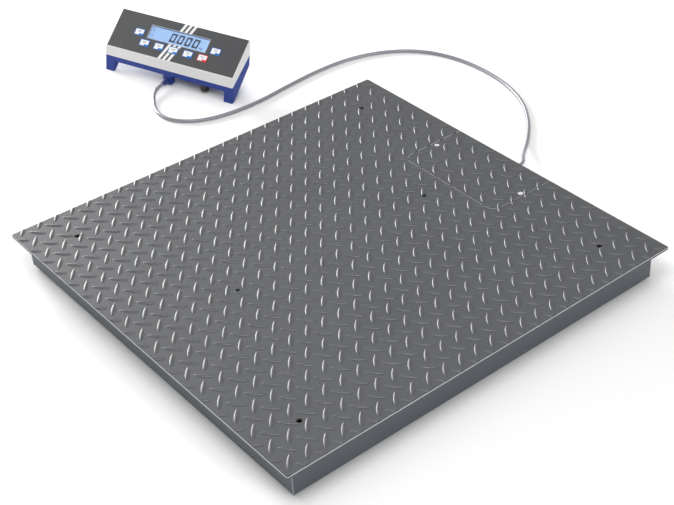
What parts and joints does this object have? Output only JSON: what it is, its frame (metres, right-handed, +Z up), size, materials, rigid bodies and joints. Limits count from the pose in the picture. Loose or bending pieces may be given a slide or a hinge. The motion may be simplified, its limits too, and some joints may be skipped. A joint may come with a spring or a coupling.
{
  "type": "platform shipping scale",
  "caption": "Low square floor scale of checker plate on a channel frame with load cells and levelling feet, joined by a cable to a tilted desk indicator with a display and keys.",
  "frame": {"origin": "on the floor, under the middle of the box that holds the platform and the indicator, without the cable and its sleeves", "axes": "+Z up; +X from the indicator to the platform; +Y towards the platform's rear edge, which has the hatch and the cable outlet"},
  "size_m": [1.6928, 1.3481, 0.1351],
  "materials": {
    "deck_paint": "semi-gloss anthracite coat on checker plate",
    "frame_paint": "semi-gloss anthracite coat",
    "plated_screws": "zinc plated",
    "cell_steel": "nickel plated",
    "foot_rubber": "matt",
    "lead_jacket": "matt PVC",
    "cable_jacket": "satin jacket over a braid",
    "box_casting": "bead blasted die casting",
    "circuit_board": "solder resist",
    "terminal_plastic": "moulded",
    "black_plastic": "moulded",
    "housing_blue": "fine moulded grain",
    "housing_white": "fine moulded grain",
    "overlay_film": "printed polyester film",
    "display_cover": "clear",
    "display_glass": "backlit liquid crystal",
    "key_film": "printed film",
    "red_key_film": "printed film"
  },
  "bodies": {
    "platform": {"adapter_socket": "black_plastic", "cable_outlet": "black_plastic", "cell_bolts": "plated_screws", "cell_lead_front_left": "lead_jacket", "cell_lead_front_right": "lead_jacket", "cell_lead_rear_left": "lead_jacket", "cell_lead_rear_right": "lead_jacket", "cell_spacers": "frame_paint", "cross_rails": "frame_paint", "deck_plate": "deck_paint", "display_module": "display_glass", "display_window": "display_cover", "frame_front": "frame_paint", "frame_left": "frame_paint", "frame_rear": "frame_paint", "frame_right": "frame_paint", "hatch_ledges": "frame_paint", "housing_screws": "plated_screws", "indicator_base": "housing_blue", "indicator_relief": "housing_blue", "indicator_top": "housing_white", "junction_box": "box_casting", "junction_bracket": "frame_paint", "junction_glands": "black_plastic", "junction_lid": "box_casting", "junction_screws": "plated_screws", "lead_clips": "black_plastic", "lifting_bosses": "frame_paint", "load_cell_front_left": "cell_steel", "load_cell_front_right": "cell_steel", "load_cell_rear_left": "cell_steel", "load_cell_rear_right": "cell_steel", "lock_nuts": "plated_screws", "main_board": "circuit_board", "outlet_relief": "black_plastic", "overlay": "overlay_film", "signal_cable": "cable_jacket", "signal_lead_inside": "cable_jacket", "stringers": "frame_paint", "summing_board": "circuit_board", "terminal_blocks": "terminal_plastic"},
    "hatch": {"hatch_plate": "deck_paint", "hatch_screws": "plated_screws"},
    "stand": {"rear_stand": "housing_blue", "stand_pads": "foot_rubber"},
    "foot_front_left": {"foot_base_front_left": "foot_rubber"},
    "stem_front_left": {"foot_stem_front_left": "plated_screws"},
    "foot_front_right": {"foot_base_front_right": "foot_rubber"},
    "stem_front_right": {"foot_stem_front_right": "plated_screws"},
    "foot_rear_right": {"foot_base_rear_right": "foot_rubber"},
    "stem_rear_right": {"foot_stem_rear_right": "plated_screws"},
    "foot_rear_left": {"foot_base_rear_left": "foot_rubber"},
    "stem_rear_left": {"foot_stem_rear_left": "plated_screws"},
    "key_left": {"key_left": "key_film"},
    "key_row_1": {"key_row_1": "key_film"},
    "key_row_2": {"key_row_2": "key_film"},
    "key_row_3": {"key_row_3": "key_film"},
    "key_row_4": {"key_row_4": "key_film"},
    "key_row_5": {"key_row_5": "red_key_film"},
    "key_right": {"key_right": "key_film"}
  },
  "joints": [
    {"name": "level_front_left", "type": "slide", "parent": "platform", "child": "foot_front_left", "axis": [0, 0, 1], "range_m": [-0.01, 0.005]},
    {"name": "turn_front_left", "type": "hinge", "parent": "foot_front_left", "child": "stem_front_left", "pos_m": [-0.05011, -0.396, 0.03], "axis": [0, 0, 1], "range_deg": [-2060, 1030]},
    {"name": "level_front_right", "type": "slide", "parent": "platform", "child": "foot_front_right", "axis": [0, 0, 1], "range_m": [-0.01, 0.005]},
    {"name": "turn_front_right", "type": "hinge", "parent": "foot_front_right", "child": "stem_front_right", "pos_m": [0.74389, -0.396, 0.03], "axis": [0, 0, 1], "range_deg": [-2060, 1030]},
    {"name": "level_rear_right", "type": "slide", "parent": "platform", "child": "foot_rear_right", "axis": [0, 0, 1], "range_m": [-0.01, 0.005]},
    {"name": "turn_rear_right", "type": "hinge", "parent": "foot_rear_right", "child": "stem_rear_right", "pos_m": [0.74389, 0.396, 0.03], "axis": [0, 0, 1], "range_deg": [-2060, 1030]},
    {"name": "level_rear_left", "type": "slide", "parent": "platform", "child": "foot_rear_left", "axis": [0, 0, 1], "range_m": [-0.01, 0.005]},
    {"name": "turn_rear_left", "type": "hinge", "parent": "foot_rear_left", "child": "stem_rear_left", "pos_m": [-0.05011, 0.396, 0.03], "axis": [0, 0, 1], "range_deg": [-2060, 1030]},
    {"name": "hatch_lift", "type": "slide", "parent": "platform", "child": "hatch", "axis": [0, 0, 1], "range_m": [0, 0.08]},
    {"name": "key_left_press", "type": "slide", "parent": "platform", "child": "key_left", "axis": [-0.2055, 0.5803, -0.788], "range_m": [0, 0.0005], "stiffness_N_per_m": 3000},
    {"name": "key_row_1_press", "type": "slide", "parent": "platform", "child": "key_row_1", "axis": [-0.2055, 0.5803, -0.788], "range_m": [0, 0.0005], "stiffness_N_per_m": 3000},
    {"name": "key_row_2_press", "type": "slide", "parent": "platform", "child": "key_row_2", "axis": [-0.2055, 0.5803, -0.788], "range_m": [0, 0.0005], "stiffness_N_per_m": 3000},
    {"name": "key_row_3_press", "type": "slide", "parent": "platform", "child": "key_row_3", "axis": [-0.2055, 0.5803, -0.788], "range_m": [0, 0.0005], "stiffness_N_per_m": 3000},
    {"name": "key_row_4_press", "type": "slide", "parent": "platform", "child": "key_row_4", "axis": [-0.2055, 0.5803, -0.788], "range_m": [0, 0.0005], "stiffness_N_per_m": 3000},
    {"name": "key_row_5_press", "type": "slide", "parent": "platform", "child": "key_row_5", "axis": [-0.2055, 0.5803, -0.788], "range_m": [0, 0.0005], "stiffness_N_per_m": 3000},
    {"name": "key_right_press", "type": "slide", "parent": "platform", "child": "key_right", "axis": [-0.2055, 0.5803, -0.788], "range_m": [0, 0.0005], "stiffness_N_per_m": 3000},
    {"name": "stand_fold", "type": "hinge", "parent": "platform", "child": "stand", "pos_m": [-0.83848, 0.1913, 0.062], "axis": [0.9426, 0.3338, 0], "range_deg": [-55, 0]}
  ],
  "couplings": [
    {"joint": "turn_front_left", "follows": "level_front_left", "rad_per_m": 3590.4},
    {"joint": "turn_front_right", "follows": "level_front_right", "rad_per_m": 3590.4},
    {"joint": "turn_rear_right", "follows": "level_rear_right", "rad_per_m": 3590.4},
    {"joint": "turn_rear_left", "follows": "level_rear_left", "rad_per_m": 3590.4}
  ]
}
